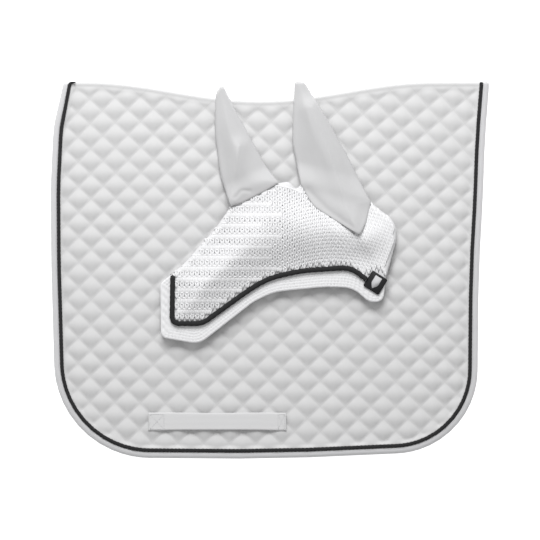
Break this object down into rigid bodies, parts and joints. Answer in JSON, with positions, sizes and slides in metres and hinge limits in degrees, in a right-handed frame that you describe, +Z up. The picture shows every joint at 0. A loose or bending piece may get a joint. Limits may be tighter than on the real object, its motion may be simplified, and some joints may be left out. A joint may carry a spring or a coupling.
{
  "type": "folded saddle pad with ear bonnet",
  "caption": "Quilted dressage saddle pad folded along its spine, with bound and piped edges and girth loops, and a crocheted fly veil with fabric ears laid on it",
  "frame": {"origin": "under the middle of the folded pad, on the surface that it lies on", "axes": "+X along the horse's back towards the tail end, +Y towards the spine fold, +Z up, out of the near flap"},
  "size_m": [0.6591, 0.567, 0.0616],
  "materials": {
    "quilted_cotton": "white twill quilted in diamonds",
    "wadding": "off-white polyester wadding",
    "lining_cotton": "white plain cotton",
    "binding_tape": "white woven tape",
    "black_piping": "black covered cord",
    "webbing": "white flat webbing",
    "crochet_cotton": "white crocheted cotton yarn",
    "black_trim": "black twisted cord",
    "ear_lycra": "white stretch fabric, smooth",
    "badge_rubber": "black moulded rubber",
    "badge_enamel": "white raised shield"
  },
  "bodies": {
    "near_flap": {"near_outer_cover": "quilted_cotton", "near_wadding": "wadding", "near_lining": "lining_cotton", "near_edge_binding": "binding_tape", "near_piping_cord": "black_piping", "near_girth_strap": "webbing", "spine_tape": "binding_tape"},
    "far_flap": {"far_outer_cover": "quilted_cotton", "far_wadding": "wadding", "far_lining": "lining_cotton", "far_edge_binding": "binding_tape", "far_piping_cord": "black_piping", "far_girth_strap": "webbing"},
    "bonnet": {"crochet_hood": "crochet_cotton", "near_edge_band": "crochet_cotton", "far_edge_band": "crochet_cotton", "near_trim_cord": "black_trim", "far_trim_cord": "black_trim", "badge_patch": "badge_rubber", "badge_emblem": "badge_enamel"},
    "near_ear": {"near_ear_outer": "ear_lycra", "near_ear_inner": "ear_lycra"},
    "far_ear": {"far_ear_outer": "ear_lycra", "far_ear_inner": "ear_lycra"}
  },
  "joints": [
    {"name": "spine_fold", "type": "hinge", "parent": "near_flap", "child": "far_flap", "pos_m": [0, 0.2841, 0.0133], "axis": [1, 0, 0], "range_deg": [0, 180]},
    {"name": "bonnet_lift", "type": "slide", "parent": "near_flap", "child": "bonnet", "axis": [0, 0, 1], "range_m": [0, 0.15]},
    {"name": "near_ear_fold", "type": "hinge", "parent": "bonnet", "child": "near_ear", "pos_m": [0.09825, 0.1145, 0.0419], "axis": [0.9682, -0.2502, 0], "range_deg": [0, 75]},
    {"name": "far_ear_fold", "type": "hinge", "parent": "bonnet", "child": "far_ear", "pos_m": [-0.023, 0.1125, 0.0419], "axis": [0.8994, 0.4372, 0], "range_deg": [0, 75]}
  ]
}
